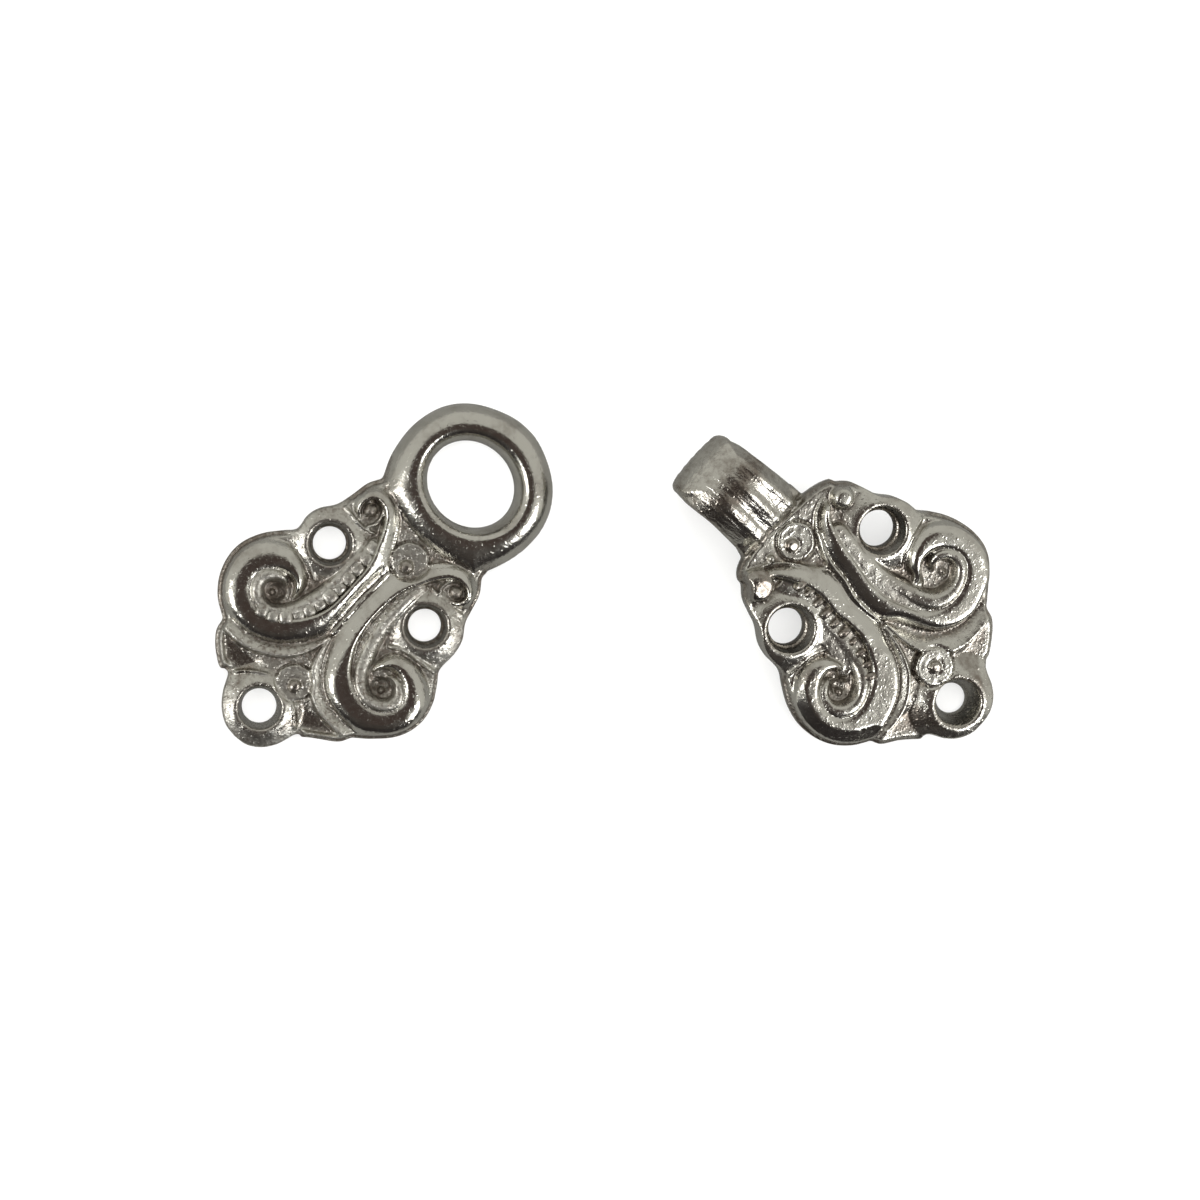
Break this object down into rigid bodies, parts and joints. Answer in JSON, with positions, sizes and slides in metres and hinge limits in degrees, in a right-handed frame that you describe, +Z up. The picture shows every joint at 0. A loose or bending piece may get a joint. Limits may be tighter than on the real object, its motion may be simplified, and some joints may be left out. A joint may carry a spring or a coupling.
{
  "type": "hook and eye clasp",
  "caption": "Sew-on metal clasp in cast scrollwork: a flat plate ending in a ring, and a like plate ending in a broad flat hook that passes through the ring.",
  "frame": {"origin": "middle of the bounding box at its bottom, on the surface that both halves lie on", "axes": "+Z up, +X from the eye half towards the hook half, +Y away from the viewer; the two halves lie apart and point up towards each other"},
  "size_m": [0.0548, 0.024, 0.0062],
  "materials": {
    "silver_plate": "bright plated casting with fine grain, darker in the hollows"
  },
  "bodies": {
    "root": {"eye_half": "silver_plate", "hook_half": "silver_plate"}
  },
  "joints": []
}
